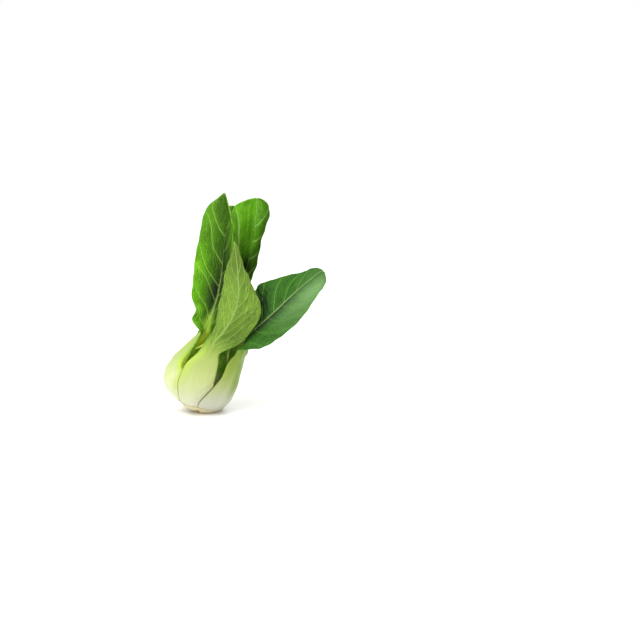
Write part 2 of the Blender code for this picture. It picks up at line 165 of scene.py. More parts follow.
def outer_radius(leaf, angle, z):
    """The bulb's radius, rounded off sideways, or what the leaves outside this one leave, if less."""
    d = turn(angle - centre_angle(leaf, z))
    rounding = STALK_ROUNDING * (0.12 + 0.88 * ease(z, 3.0, 24.0))
    r = curve(BULB_Z, BULB_RADIUS, z) * (1 - rounding * d**2) - leaf["shrink"] * ease(z, 0.0, 12.0)
    for other in leaf["outer"]:
        half = half_angle(other, z)
        off = turn(angle - centre_angle(other, z))
        inside = np.clip(off, -half, half)
        at = centre_angle(other, z) + inside
        under = outer_radius(other, at, z) - stalk_thickness(other, z, inside / half)
        under = under - GAP - INNER_SLACK * leaf["shrink"]
        beyond = np.maximum(np.abs(off - inside) - MARGIN_REACH, 0.0)
        r = soft_min(r, under + MARGIN_SLOPE * beyond * r)
    return r


def shell_points(leaf, z, t):
    """Outer and inner face of a stalk in the bulb: polar points about the bulb's leaning axis."""
    z, t = np.broadcast_arrays(np.asarray(z, float), np.asarray(t, float))
    angle = centre_angle(leaf, z) + t * half_angle(leaf, z)
    r_out = outer_radius(leaf, angle, z)
    butt = np.where(z < BUTT_Z[-1], curve(BUTT_Z, BUTT_RADIUS, z), 0.0)
    r_in = np.maximum(r_out - stalk_thickness(leaf, z, t), butt + GAP)
    r_in = np.minimum(r_in, r_out - 0.62)
    cx = curve(BULB_Z, BULB_CENTRE_X, z)
    out = np.stack([cx + r_out * np.cos(angle), r_out * np.sin(angle), z], axis=-1)
    inn = np.stack([cx + r_in * np.cos(angle), r_in * np.sin(angle), z], axis=-1)
    return out, inn


print("widest part of the bulb:", 2 * max(BULB_RADIUS), "mm")

# %% [markdown]
# ## The free leaf
# Above the neck a leaf is its own sheet. Three curves, the midrib and both edges, carry it up, and
# a rounded fold joins them, since a young blade keeps a valley at its midrib. The sheet blends into
# the bulb over ten millimetres. The blade is thinnest at its edge, where a real one is soft and
# slightly frilled.


# %% Sheet of a leaf
def normals(p):
    """Unit vectors square to the sheet: the cross product of its two directions of rows."""
    n = np.cross(np.gradient(p, axis=0), np.gradient(p, axis=1))
    return n / np.maximum(np.linalg.norm(n, axis=-1, keepdims=True), 1e-9)


def leaf_knots(leaf):
    """Stations with two from the bulb below them, and the running length at each along the midrib."""
    fade = leaf["top"] - (SHELL_TOP - SHELL_FADE)
    lead = [sum(shell_points(leaf, z, np.array([0.0, -1.0, 1.0]))) / 2 for z in (fade, leaf["top"])]
    pts = np.concatenate([np.array(lead), np.array(leaf["stations"], float)])
    step = np.linalg.norm(np.diff(pts[:, 0], axis=0), axis=1)
    edges = np.linalg.norm(np.diff(pts[:, 1] + pts[:, 2], axis=0), axis=1)
    step = np.maximum(step, 0.25 * edges)
    return pts, np.concatenate([[fade, leaf["top"]], leaf["top"] + np.cumsum(step[1:])])


def free_points(leaf, u, t):
    """Middle of the blade: a parabola through midrib and edges, mixed with a straight fold, and rippled."""
    pts, knots = leaf_knots(leaf)
    m, a, b = (curve(knots, pts[:, k], u) for k in range(3))
    tt = t[..., None]
    bow = m + tt * (b - a) / 2 + tt**2 * ((a + b) / 2 - m)
    fold = m + np.where(tt > 0, tt * (b - m), -tt * (a - m))
    soft = leaf["fold"] * ease(u, leaf["top"], leaf["top"] + leaf["blade_from"] + 20)[..., None]
    p = bow * (1 - soft) + fold * soft
    n = normals(p)
    size, count, phase = leaf["wave"]
    along = (u - leaf["top"]) / (knots[-1] - leaf["top"])
    grow = ease(along, 0.12, 0.4) * (1 - ease(along, 0.86, 1.0))
    side = np.where(t > 0, 0.0, 2.1)
    ripple = size * np.sin(2 * math.pi * count * along + phase + side)
    frill = 0.35 * np.sin(2 * math.pi * count * 3.3 * along + 2 * phase + 1.7 * side)
    return p + n * (grow * np.abs(t)**2.5 * (ripple + frill * np.abs(t)**4))[..., None], n


def blade_thickness(leaf, u, t):
    """Stalk crescent that thins upwards, turning into a thin blade with a rib at its middle."""
    end = leaf["end"]
    along = ease(u, leaf["top"], leaf["top"] + leaf["blade_from"])
    stalk_mid = curve([0.0, 0.6, 1.0], [5.8, 4.6, 3.0], along) * leaf["belly"] / STALK_BELLY
    stalk = STALK_EDGE + (stalk_mid - STALK_EDGE) * (1 - t**2)
    rib = 0.5 + 2.0 * (1 - ease(u, leaf["top"] + leaf["blade_from"], end))
    blade = 0.75 + rib * np.exp(-(t / 0.17)**2)
    lip = lip_thickness(leaf, t) * (1 - ease(u, leaf["top"] + LIP_FADE[0], leaf["top"] + LIP_FADE[1]))
    return stalk * (1 - along) + blade * along + lip


print("the sheet's functions are ready")

# %% [markdown]
# ## The leaves
# Each leaf has an azimuth, the height where it leaves the root stem, and its stations. Its side
# veins leave the midrib at one place along the blade and meet the edge at another, as pairs of
# fractions, for the side of the edge at -1 and then for the side at +1. The outer leaves come
# first, since the ones after them lie inside.
#
# Green says between which parts of the free length a stalk turns to blade, and wing how far the
# green runs down each edge. Painted shading darkens a leaf where shade falls, in its valleys and
# folds and behind its neighbours, and lightens it in a few lit places; a painted sheen lays pale
# reflections on the glossy blades. Both are soft spots: place along, place across, the two reaches
# and the strength. Crumple is one such spot where the blade is folded small. Painted maps would do
# the same, but a few soft spots can be read and moved.


# %% Table of leaves
PLAIN_LEAF = dict(narrow=(1.0, 1.0), belly=STALK_BELLY, fold=0.5, blade_from=22.0, wave=(1.0, 3.0, 0.0),
                  shrink=0.0, top=SHELL_TOP, lip=0.0, green=(0.08, 0.26), wing=(0.1, 0.1, 5.0), tints=(),
                  bloom=(), crumple=(0.0, 0.0, 1.0, 1.0, 0.0, 4.0))


def leaf(name, azimuth, start, **figures):
    """A leaf's figures in one place: those of a plain leaf, with its own in place of some."""
    return {**PLAIN_LEAF, "name": name, "azimuth": azimuth, "start": start, "outer": [], **figures}


FAN_LOW = [(0.06, 0.26), (0.14, 0.40), (0.24, 0.52), (0.35, 0.63), (0.47, 0.74), (0.60, 0.84), (0.73, 0.93)]
FAN_HIGH = [(0.10, 0.33), (0.19, 0.46), (0.29, 0.57), (0.41, 0.68), (0.53, 0.79), (0.67, 0.89), (0.80, 0.96)]

FRONT = leaf("leaf_front", (263, 263.4), 3.0, narrow=(0.83, 1.0), fold=0.35, blade_from=14,
             wave=(0.8, 3.0, 0.6), stations=[
    [(6, -28, 55), (-4.5, -23, 55), (14, -27, 55)],
    [(8.5, -27, 62), (1, -21.5, 62), (21, -26.5, 58.5)],
    [(12, -26.5, 67), (5, -20.5, 68), (30, -25.5, 62.5)],
    [(17, -27.5, 73), (8.5, -20, 74), (38, -25, 71)],
    [(22.5, -28.5, 81.5), (11.5, -20, 81), (46, -24, 82)],
    [(27.5, -29, 92.5), (13.3, -20, 94), (47.5, -23, 92)],
    [(30, -29, 107), (16, -19.5, 109), (43.2, -22, 104.5)],
    [(29.5, -27.5, 119), (19, -19.5, 120.5), (38.5, -22, 117)],
    [(28.5, -25.5, 130), (22.5, -20, 131.5), (32.5, -22, 128)],
    [(27, -22.8, 141), (25, -21, 141.5), (29.5, -21.5, 140)],
    [(26.6, -21.6, 146.5), (26.2, -21.5, 146.2), (27, -21.5, 146.2)],
], green=(0.06, 0.26), tints=[(0.28, 0.5, 0.12, 0.5, 0.72), (0.86, 0.0, 0.14, 2.0, 0.68)],
   veins=([(0.10, 0.40), (0.21, 0.52), (0.33, 0.62), (0.45, 0.72), (0.58, 0.82), (0.71, 0.91)],
          [(0.04, 0.34), (0.14, 0.52), (0.27, 0.61), (0.38, 0.69), (0.51, 0.78), (0.65, 0.88), (0.77, 0.95)]))
LEFT = leaf("leaf_left", (191, 207), 5.0, narrow=(1.0, 1.1), fold=0.75, blade_from=28, wave=(0.9, 4.0, 1.0),
            top=38.0, lip=4.2, stations=[
    [(-25, -9.5, 46), (-18.5, 6, 47), (-16.4, -23, 45)],
    [(-17.8, -5, 53.5), (-5.5, 3.5, 54), (-11.8, -20.3, 52.5)],
    [(-10.8, -3.5, 60), (2, -0.5, 60), (-7.3, -17, 59.8)],
    [(-4.8, -3.8, 65.5), (7, -4.5, 65.5), (-4.4, -14.2, 65.5)],
    [(0.5, -4.5, 70), (8.5, -8.5, 70), (-3.5, -12.3, 69.5)],
    [(2.5, -5, 75), (9.5, -10, 75), (-7.5, -11.5, 75)],
    [(4.5, -4.5, 80.5), (14, -10, 79), (-9.7, -11, 80.5)],
    [(7, -4, 87), (19, -10.5, 86), (-6.2, -11, 87.5)],
    [(10.5, -3, 97), (23.5, -11, 95), (-9.8, -11, 98)],
    [(13, -2, 108), (26, -12, 107), (-9.3, -11, 108.5)],
    [(15.2, -1, 122), (26.5, -12.5, 122), (-7.3, -10.5, 122.5)],
    [(16.5, 0, 137), (25, -12, 137), (-5.2, -9.5, 138)],
    [(18.5, 0.5, 150), (24, -10, 150), (-2.6, -8.5, 151)],
    [(20.8, 1, 162), (23.5, -7, 161), (0.5, -7, 164)],
    [(20, 1, 173), (21.8, -3, 171), (5.5, -5, 174)],
    [(18.3, 0.6, 180), (19.3, -1, 179), (13, -2, 179.8)],
    [(17.6, 0.4, 183.2), (18.1, 0.2, 182.9), (17, 0, 183)],
], green=(0.24, 0.42), wing=(0.2, 0.26, 1.5),
   tints=[(0.95, 0.5, 0.25, 1.5, 0.78), (0.52, -0.45, 0.26, 0.55, 0.20), (0.47, 0.14, 0.13, 0.32, 0.12),
          (0.66, -0.10, 0.14, 0.16, 0.3), (0.58, 0.95, 0.4, 0.42, 2.0)],
   veins=([(0.28, 0.42), (0.37, 0.53), (0.46, 0.64), (0.57, 0.76), (0.69, 0.86), (0.81, 0.95)],
          [(0.20, 0.34), (0.27, 0.43), (0.34, 0.55),
           ((0.0, 0.425), (0.31, 0.498), (0.53, 0.56), (0.96, 0.641), (1.0, 0.65)),
           ((0.0, 0.51), (0.3, 0.56), (0.64, 0.629), (0.79, 0.68), (0.91, 0.726), (1.0, 0.755)),
           ((0.0, 0.625), (0.29, 0.687), (0.48, 0.737), (0.61, 0.807), (0.74, 0.853), (0.89, 0.884),
            (1.0, 0.90)),
           (0.77, 0.985)]))
RIGHT = leaf("leaf_right", (321, 329.3), 1.2, narrow=(1.0, 0.92), fold=0.45, blade_from=16,
             wave=(1.0, 3.5, 0.3), stations=[
    [(31.5, -19, 54), (26.5, -24.6, 53.5), (36, -10.5, 54)],
    [(34, -18.5, 60.5), (28.5, -29, 58), (35, -9, 65)],
    [(37.5, -18.5, 66.5), (33, -31, 58.5), (36.5, -8, 76)],
    [(42, -18.5, 71.5), (39.5, -32, 59.3), (40, -6.5, 86)],
    [(48, -18.5, 77), (47, -33, 61), (41.5, -6, 99)],
    [(54, -18.5, 83), (56, -33, 65), (44.8, -6, 108)],
    [(61, -18.5, 89.5), (66, -32, 71), (53.5, -6, 111.5)],
    [(67, -17.5, 95.5), (76, -30, 80), (63, -6.5, 114)],
    [(73.5, -17, 101.5), (85, -28, 91), (72, -7, 117)],
    [(80, -16, 107.5), (92, -25, 100), (81, -8.5, 119.5)],
    [(88, -15, 114), (98.4, -21, 108.7), (88, -10, 122)],
    [(95, -14, 119.5), (100.6, -17.5, 115.5), (94, -12, 123)],
    [(98.3, -14, 121), (99.6, -14.8, 119.8), (97.3, -13.5, 122.2)],
], wing=(0.1, 0.55, 5.0), crumple=(0.415, 0.62, 0.075, 0.42, 0.9, 4.4),
   tints=[(0.415, 0.5, 0.065, 0.42, 0.10), (0.28, 0.6, 0.14, 0.6, 0.3), (0.5, -0.065, 0.38, 0.045, 0.10),
          (0.45, -0.14, 0.35, 0.12, 0.6)],
   bloom=[(0.84, -0.70, 0.17, 0.5, 0.42), (0.94, 0.35, 0.12, 0.6, 0.10), (0.64, -0.42, 0.15, 0.30, 0.16)],
   veins=([(0.05, 0.22), (0.14, 0.40), (0.29, 0.62), (0.44, 0.74), (0.58, 0.84), (0.72, 0.93)],
          [(0.12, 0.26), (0.24, 0.40), (0.37, 0.51), (0.50, 0.635), (0.61, 0.80), (0.74, 0.90)]))
BACK_LEFT = leaf("leaf_back_left", (116, 112), 2.0, fold=0.4, blade_from=18, wave=(1.0, 3.0, 2.0), stations=[
    [(-5, 26, 54), (3.5, 27.5, 54), (-13.5, 19.5, 54)],
    [(1, 22.5, 64), (8.5, 25.5, 63), (-7, 16, 64)],
    [(6.5, 20.5, 77), (15, 26, 76), (-4, 12.5, 78)],
    [(11, 21, 91), (19.5, 29, 90), (-3, 11, 92)],
    [(16, 22.5, 106), (24, 31, 105), (-1, 11, 107)],
    [(20, 24.5, 121), (28, 32, 120), (2, 12.5, 122)],
    [(22, 25.5, 136), (30.5, 32, 135), (5, 14.5, 137)],
    [(22.5, 26, 149), (31, 32, 148), (7, 15, 149)],
    [(22, 25.5, 159), (29.5, 30.5, 158), (10, 16.5, 160)],
    [(21.3, 24.8, 166), (26.5, 28.5, 165.5), (14.5, 19.5, 166.5)],
    [(21.2, 24, 169.5), (23.8, 25.5, 169.2), (18.5, 22.2, 169.4)],
], veins=(FAN_LOW, FAN_HIGH))
BACK_RIGHT = leaf("leaf_back_right", (42, 42), 3.0, fold=0.35, blade_from=18, wave=(1.0, 3.0, 4.0), stations=[
    [(27.5, 19.5, 54), (32.5, 11, 54), (20, 25, 54)],
    [(26.5, 18, 64), (35, 9.5, 63), (18, 21.5, 64)],
    [(27, 18.5, 77), (36, 8.5, 76), (17, 17.5, 78)],
    [(29, 20.5, 90), (37, 8.5, 90), (17.5, 15, 92)],
    [(31.5, 24, 106), (38, 9.5, 106), (19, 14.5, 107)],
    [(36, 27, 124), (42, 11, 122), (19.5, 15, 126)],
    [(39.5, 28, 143), (48, 12, 142), (21, 15.8, 144)],
    [(41.8, 27.3, 157), (51.5, 12, 156), (22, 16.8, 158)],
    [(42.6, 26, 168), (53.2, 12.3, 167.5), (23.5, 18, 167.5)],
    [(43, 24.8, 174), (51.2, 15.5, 173), (29, 19.5, 172.2)],
    [(43.2, 23.7, 176), (47.5, 19.5, 175.3), (37, 22, 175.2)],
], tints=[(0.45, 0.4, 0.16, 0.8, 0.12), (0.545, 0.05, 0.085, 0.75, 0.10), (0.70, -1.0, 0.55, 0.80, 0.17),
          (0.62, 0.62, 0.17, 0.4, 0.62)],
   bloom=[(0.88, -0.25, 0.1, 0.2, 0.10)],
   veins=([(0.12, 0.30), (0.24, 0.40), (0.36, 0.50), (0.48, 0.60), (0.60, 0.69), (0.71, 0.785),
           (0.81, 0.95)],
          [(0.10, 0.30), (0.20, 0.42), ((0.0, 0.34), (0.35, 0.45), (0.55, 0.56), (0.64, 0.66), (0.68, 0.75),
                                        (0.73, 0.82), (0.80, 0.888), (1.0, 0.97))]))
INNER_FRONT = leaf("inner_leaf_front", (292, 292), 7.0, narrow=(0.85, 0.85), belly=5.0, shrink=7.0, fold=0.3,
                   blade_from=12, wave=(0.6, 2.0, 0.0), stations=[
    [(12, -18, 54), (6.5, -17.5, 54), (19.5, -15.5, 54)],
    [(15.5, -16.5, 63), (9, -16.5, 63), (25, -15.5, 62)],
    [(19, -15.5, 73), (11, -16, 74), (29, -15, 73)],
    [(22, -15, 84), (14, -16, 85), (31, -15, 84)],
    [(24, -15, 94), (18, -16, 95), (29.5, -15.5, 94)],
    [(25, -15.5, 102), (23.5, -15.8, 101.5), (26.5, -15.6, 101.5)],
], green=(-0.45, -0.10), veins=(FAN_LOW, FAN_HIGH))
INNER_BACK = leaf("inner_leaf_back", (75, 75), 7.0, narrow=(0.85, 0.85), belly=5.0, shrink=8.0, fold=0.3,
                  blade_from=14, wave=(0.7, 2.5, 1.0), stations=[
    [(12, 15.5, 54), (19, 13, 54), (5.5, 16, 54)],
    [(15, 13, 64), (22, 10.5, 64), (8, 14, 64)],
    [(18, 12.5, 76), (26, 8.5, 76), (10.5, 13, 77)],
    [(20.5, 12.5, 89), (29, 8, 89), (12.5, 11.5, 90)],
    [(22.5, 12.5, 102), (30.5, 8, 102), (14.5, 11, 103)],
    [(24.5, 13, 113), (29.5, 10, 113), (18.5, 11.5, 114)],
    [(25.3, 13, 119), (26.7, 12.4, 118.5), (23.7, 12.6, 118.8)],
], green=(-0.30, 0.0), veins=(FAN_HIGH, FAN_LOW))
INNER_LEFT = leaf("inner_leaf_left", (150, 140), 9.5, narrow=(0.8, 0.8), belly=4.4, shrink=8.0, fold=0.3,
                  blade_from=12, wave=(0.5, 2.0, 2.0), stations=[
    [(-1, 9.5, 54), (3.5, 11, 54), (-1.5, 5.5, 54)],
    [(3, 6.5, 62), (6.5, 8.5, 62), (4, 2.5, 62)],
    [(7.5, 5, 71), (10.5, 6.5, 71), (8.5, 0.5, 71)],
    [(11, 4, 81), (14, 5.5, 81), (12, 0, 81)],
    [(14, 4, 90), (16.3, 5, 90), (14.7, 1.3, 90)],
    [(15.7, 4, 96), (16.4, 4.4, 95.8), (15.9, 3.2, 95.8)],
], veins=(FAN_LOW, FAN_HIGH))
HEART_RIGHT = leaf("heart_leaf_right", (350, 350), 12.5, narrow=(0.9, 0.9), belly=3.6, shrink=15.0, fold=0.3,
                   blade_from=10, wave=(0.4, 2.0, 0.0), stations=[
    [(19, -3.5, 53), (17.5, -8.5, 53), (18.5, 1.5, 53)],
    [(21, -4, 61), (18.5, -9.5, 61), (20, 2, 61)],
    [(22.5, -4.2, 69), (20.5, -8.5, 69), (21.5, 1, 69)],
    [(23.5, -4.2, 75), (23, -5.2, 74.8), (23.2, -3.2, 74.8)],
], veins=(FAN_HIGH, FAN_LOW))
HEART_LEFT = leaf("heart_leaf_left", (215, 215), 12.5, narrow=(0.9, 0.9), belly=3.2, shrink=15.0, fold=0.3,
                  blade_from=10, wave=(0.3, 2.0, 1.0), stations=[
    [(5.5, -5, 52), (3.5, -1, 52), (9.5, -7.5, 52)],
    [(9.5, -4.5, 59), (8, -0.5, 59), (13, -7.5, 59)],
    [(12.5, -4, 65), (12, -2.8, 64.8), (13.6, -4.8, 64.8)],
], veins=(FAN_LOW, FAN_HIGH))
ORDER = [RIGHT, BACK_LEFT, FRONT, BACK_RIGHT, LEFT,
         INNER_FRONT, INNER_BACK, INNER_LEFT, HEART_RIGHT, HEART_LEFT]
for rank, one in enumerate(ORDER):
    one["outer"] = ORDER[:rank]
    one["end"] = float(leaf_knots(one)[1][-1])
    print(one["name"], "is", round(one["end"] - one["start"]), "mm long")

# %% [markdown]
# ## Veins
# Side veins leave the midrib at a low angle and bend up along the edge. They could be painted, but
# a distance is better: each point of the sheet stores how many millimetres it lies from the
# nearest vein. The sign changes from one gap between veins to the next, so the value runs straight
# through nothing at a vein and a coarse grid still draws a sharp line.


# %% Distance to the side veins
def vein_line(vein, t):
    """Place along the blade of a vein at t: base to tip, half straight and half square, or its points."""
    if len(vein) > 2:
        return curve([p[0] for p in vein], [p[1] for p in vein], t)
    base, tip = vein
    return base + (tip - base) * (0.5 * t + 0.5 * t**2)


def vein_distance(leaf, u, t, half):
    """Signed millimetres to the nearest side vein: the gap along times the cosine of the vein's slope."""
    length = leaf["end"] - leaf["top"]
    s = (u - leaf["top"]) / length
    best = np.full(u.shape, 1e3)
    for side, sign in ((leaf["veins"][0], -1), (leaf["veins"][1], 1)):
        on = (t * sign >= 0)
        near = np.full(u.shape, 1e3)
        signed = np.full(u.shape, 1e3)
        for k, vein in enumerate(side):
            place = vein_line(vein, np.abs(t))
            slope = (vein_line(vein, np.abs(t) + 0.01) - place) / 0.01 * length / np.maximum(half, 1.0)
            gap = (s - place) * length / np.sqrt(1 + slope**2)
            closer = np.abs(gap) < near
            near = np.where(closer, np.abs(gap), near)
            signed = np.where(closer, gap * (-1)**k, signed)
        best = np.where(on, signed, best)
    return best


print("side veins on the front leaf:", sum(len(v) for v in FRONT["veins"]))

# %% [markdown]
# ## The grid of a leaf
# Rows follow the leaf's length and columns run across it, closer together near the edges, where
# the sheet rounds over. The same grid gives the outer and the inner face, and a strip joins them.
# Puckers push both faces the same way, and vein ribs stand out on the outer face only, as they do
# under a real leaf.

# %% Faces of a leaf
ROW_STEP = 0.55
EDGE_ZONE = 0.965


def columns(count):
    """Places across a leaf: evenly spaced, with five more in the rounded zone at each edge."""
    middle = np.linspace(-EDGE_ZONE, EDGE_ZONE, count)
    bend = 1 - (1 - EDGE_ZONE) * (1 - np.sin(np.linspace(0.25, 1.0, 4) * math.pi / 2))
    return np.concatenate([-bend[::-1], middle, bend])


def leaf_grid(leaf, count):
    """Outer and inner face on one fine grid, and the values that the skin reads at each point."""
    low = np.arange(leaf["start"], leaf["top"], 1.0)
    rows = int((leaf["end"] - leaf["top"]) / ROW_STEP)
    high = np.linspace(leaf["top"], leaf["end"], rows)
    u, t = np.meshgrid(np.concatenate([low, high]), columns(count), indexing="ij")
    mid, n = free_points(leaf, u, t)
    out_s, inn_s = shell_points(leaf, np.minimum(u, leaf["top"]), t)
    b = ease(u, leaf["top"] - (SHELL_TOP - SHELL_FADE), leaf["top"])[..., None]
    centre = (out_s + inn_s) / 2 * (1 - b) + mid * b
    step = np.linalg.norm(np.diff(centre, axis=1), axis=-1)
    x = np.concatenate([np.zeros((len(u), 1)), np.cumsum(step, axis=1)], axis=1)
    x = x - x[:, [x.shape[1] // 2]]
    half = np.where(t > 0, x[:, [-1]], -x[:, [0]])
    s = (u - leaf["top"]) / (leaf["end"] - leaf["top"])
    vein = vein_distance(leaf, u, t, half)
    wing = np.where(t < 0, leaf["wing"][0], leaf["wing"][1]) * (np.abs(t)**leaf["wing"][2] - 0.1)
    blade = ease(s + wing, *leaf["green"])
    # Painted shading: soft spots that darken the leaf where shade falls and lighten it where light falls.
    tint = np.ones(u.shape)
    for s0, t0, reach_s, reach_t, gain in leaf["tints"]:
        tint = tint * (1 + (gain - 1) * np.exp(-((s - s0) / reach_s)**2 - ((t - t0) / reach_t)**2))
    # Painted sheen: pale soft spots that stand in for reflections on the glossy blade.
    bloom = np.zeros(u.shape)
    for s0, t0, reach_s, reach_t, gain in leaf["bloom"]:
        bloom = bloom + gain * np.exp(-((s - s0) / reach_s)**2 - ((t - t0) / reach_t)**2)
    edge = 1 - np.abs(t)
    pucker = np.minimum(np.abs(vein) / 3.5, 1.0)**1.2 * np.minimum(np.abs(x) / 5.0, 1.0)
    pucker = 0.75 * pucker * blade * ease(edge, 0.0, 0.25) * (1 - ease(s, 0.9, 1.0))
    ridge = 0.32 * np.exp(-(vein / 0.5)**2) * blade * ease(edge, 0.0, 0.5) * (1 - 0.4 * s)
    rim = np.sqrt(np.maximum(1 - (np.maximum(np.abs(t) - EDGE_ZONE, 0) / (1 - EDGE_ZONE))**2, 0.0004))
    close = np.sqrt(np.maximum(1 - (np.maximum(u - leaf["end"] + 0.9, 0) / 0.9)**2, 0.0004))
    shape = (rim * close)[..., None]
    thick = blade_thickness(leaf, u, t)[..., None] * shape
    out = centre + (out_s - centre) * (1 - b) * shape - n * thick / 2 * b
    inn = centre + (inn_s - centre) * (1 - b) * shape + n * thick / 2 * b
    s0, t0, reach_s, reach_t, height, length = leaf["crumple"]
    folds = height * np.sin(2 * math.pi * (u + 5 * t + 1.2 * np.sin(9 * t)) / length)
    folds = folds * np.exp(-((s - s0) / reach_s)**2 - ((t - t0) / reach_t)**2)
    lift = n * ((pucker + folds)[..., None] * b)
    out = out + lift - n * ridge[..., None] * shape
    inn = inn + lift
    values = {"midrib_mm": x, "vein_mm": vein, "across": t, "along": s, "along_mm": u, "blade": blade,
              "tint": tint, "bloom": np.minimum(bloom, 0.8)}
    return out, inn, values


def closed_sheet(name, out, inn, values):
    """Mesh of two like grids and the strip between their borders, with the values stored at its points."""
    rows, cols = out.shape[:2]
    half = rows * cols
    index = np.arange(half).reshape(rows, cols)
    a, b, c, d = (index[:-1, :-1], index[:-1, 1:], index[1:, 1:], index[1:, :-1])
    outer = np.stack([a, b, c, d], axis=-1).reshape(-1, 4)
    inner = np.stack([a, d, c, b], axis=-1).reshape(-1, 4) + half
    border = np.concatenate([index[0, :-1], index[:-1, -1], index[-1, :0:-1], index[:0:-1, 0]])
    after = np.roll(border, -1)
    strip = np.stack([after, border, border + half, after + half], axis=-1)
    faces = np.concatenate([outer, inner, strip])
    points = np.concatenate([out.reshape(-1, 3), inn.reshape(-1, 3)]) * MM
    mesh = bpy.data.meshes.new(name)
    mesh.from_pydata(points.tolist(), [], faces.tolist())
    for key, value in values.items():
        layer = mesh.attributes.new(key, "FLOAT", "POINT")
        layer.data.foreach_set("value", np.tile(value.ravel(), 2).astype(np.float32))
    side = mesh.attributes.new("inner_face", "FLOAT", "POINT")
    side.data.foreach_set("value", np.repeat([0.0, 1.0], half).astype(np.float32))
    mesh.polygons.foreach_set("use_smooth", np.ones(len(mesh.polygons), bool))
    mesh.update()
    corner = points[faces]
    volume = np.einsum("ij,ij->i", corner[:, 0], np.cross(corner[:, 1], corner[:, 2])).sum()
    volume += np.einsum("ij,ij->i", corner[:, 0], np.cross(corner[:, 2], corner[:, 3])).sum()
    if volume < 0:
        mesh.flip_normals()
    piece = bpy.data.objects.new(name, mesh)
    bpy.context.scene.collection.objects.link(piece)
    return piece


print("rows are", ROW_STEP, "mm apart")

# %% [markdown]
# ## Nodes in plain lines
# A material is a small machine of nodes. A few helpers keep it readable: one makes a node and sets
# or links its inputs, two do sums, one eases a value between two limits, and one mixes colours.
# Effects that several skins share become node groups with named inputs and outputs.


# %% Node helpers
def put(tree, kind, inputs=None, **settings):
    """One shader node; an input given as a socket is linked, and any other value is set on it."""
    made = tree.nodes.new("ShaderNode" + kind)
    for key, value in settings.items():
        setattr(made, key, value)
    for key, value in (inputs or {}).items():
        if isinstance(value, bpy.types.NodeSocket):
            tree.links.new(value, made.inputs[key])
        else:
            made.inputs[key].default_value = value
    return made


def sum_of(tree, operation, a, b=0.0):
    """Result of one Math node."""
    return put(tree, "Math", {0: a, 1: b}, operation=operation).outputs[0]


def times(tree, a, b):
    """Product of two values."""
    return sum_of(tree, "MULTIPLY", a, b)


def eased(tree, value, low, high, at_low=0.0, at_high=1.0):
    """The value carried smoothly from at_low at low to at_high at high."""
    inputs = {"Value": value, "From Min": low, "From Max": high, "To Min": at_low, "To Max": at_high}
    return put(tree, "MapRange", inputs, interpolation_type="SMOOTHSTEP").outputs[0]


def mixed(tree, factor, a, b, blend="MIX"):
    """Two colours mixed by a factor; a colour is a socket or three numbers."""
    a = a if isinstance(a, bpy.types.NodeSocket) else (*a, 1.0)
    b = b if isinstance(b, bpy.types.NodeSocket) else (*b, 1.0)
    made = put(tree, "Mix", {0: factor, 6: a, 7: b}, data_type="RGBA", blend_type=blend)
    return made.outputs[2]


def new_group(name, inputs, outputs):
    """A node group whose sockets are all numbers: its tree, its input sockets and its output node."""
    tree = bpy.data.node_groups.new(name, "ShaderNodeTree")
    for label, start in inputs.items():
        made = tree.interface.new_socket(label, in_out="INPUT", socket_type="NodeSocketFloat")
        made.default_value = start
    for label in outputs:
        tree.interface.new_socket(label, in_out="OUTPUT", socket_type="NodeSocketFloat")
    given = tree.nodes.new("NodeGroupInput").outputs
    result = tree.nodes.new("NodeGroupOutput")
    return tree, given, result


def use_group(tree, group, inputs):
    """A node group placed in a material with its own values."""
    made = tree.nodes.new("ShaderNodeGroup")
    made.node_tree = group
    for key, value in inputs.items():
        if isinstance(value, bpy.types.NodeSocket):
            tree.links.new(value, made.inputs[key])
        else:
            made.inputs[key].default_value = value
    return made.outputs


print("helpers for nodes are ready")

# %% [markdown]
# ## Vein group
# A vein is pale and raised, widest at the midrib and fading towards the edge. The group turns the
# stored distances into a sharp mask, a wide soft halo and a height for the bump. Drawing the veins
# in the shader keeps their edges crisp at any distance, which vertex paint could not.

# %% Vein group
veins, given, result = new_group(
    "veins",
    {"Midrib mm": 0.0, "Vein mm": 5.0, "Across": 0.0, "Along": 0.0, "Rib Width": 1.6, "Vein Width": 0.5},
    ("Rib", "Side Vein", "Halo", "Height"))
off_axis = sum_of(veins, "ABSOLUTE", given["Midrib mm"])
off_vein = sum_of(veins, "ABSOLUTE", given["Vein mm"])
out_way = sum_of(veins, "ABSOLUTE", given["Across"])
rib_taper = eased(veins, given["Along"], 0.05, 1.0, 1.0, 0.22)
rib_edge = times(veins, given["Rib Width"], rib_taper)
rib_soft = sum_of(veins, "ADD", rib_edge, 0.35)
rib_full = times(veins, rib_edge, 0.55)
rib_mask = put(veins, "MapRange", {"Value": off_axis, "From Min": rib_soft, "From Max": rib_full},
               interpolation_type="SMOOTHSTEP").outputs[0]
vein_taper = eased(veins, out_way, 0.0, 1.0, 1.0, 0.3)
vein_edge = times(veins, given["Vein Width"], vein_taper)
vein_soft = sum_of(veins, "ADD", vein_edge, 0.22)
vein_full = times(veins, vein_edge, 0.4)
vein_mask = put(veins, "MapRange", {"Value": off_vein, "From Min": vein_soft, "From Max": vein_full},
                interpolation_type="SMOOTHSTEP").outputs[0]
vein_mask = times(veins, vein_mask, eased(veins, out_way, 0.75, 1.0, 1.0, 0.25))
beside_vein = eased(veins, off_vein, 0.0, 3.2, 1.0, 0.0)
halo = sum_of(veins, "MAXIMUM", beside_vein, eased(veins, off_axis, 0.0, 5.0, 1.0, 0.0))
height = sum_of(veins, "MAXIMUM", rib_mask, times(veins, vein_mask, 0.7))
for label, socket in (("Rib", rib_mask), ("Side Vein", vein_mask), ("Halo", halo), ("Height", height)):
    veins.links.new(socket, result.inputs[label])
print("vein group has", len(veins.nodes), "nodes")

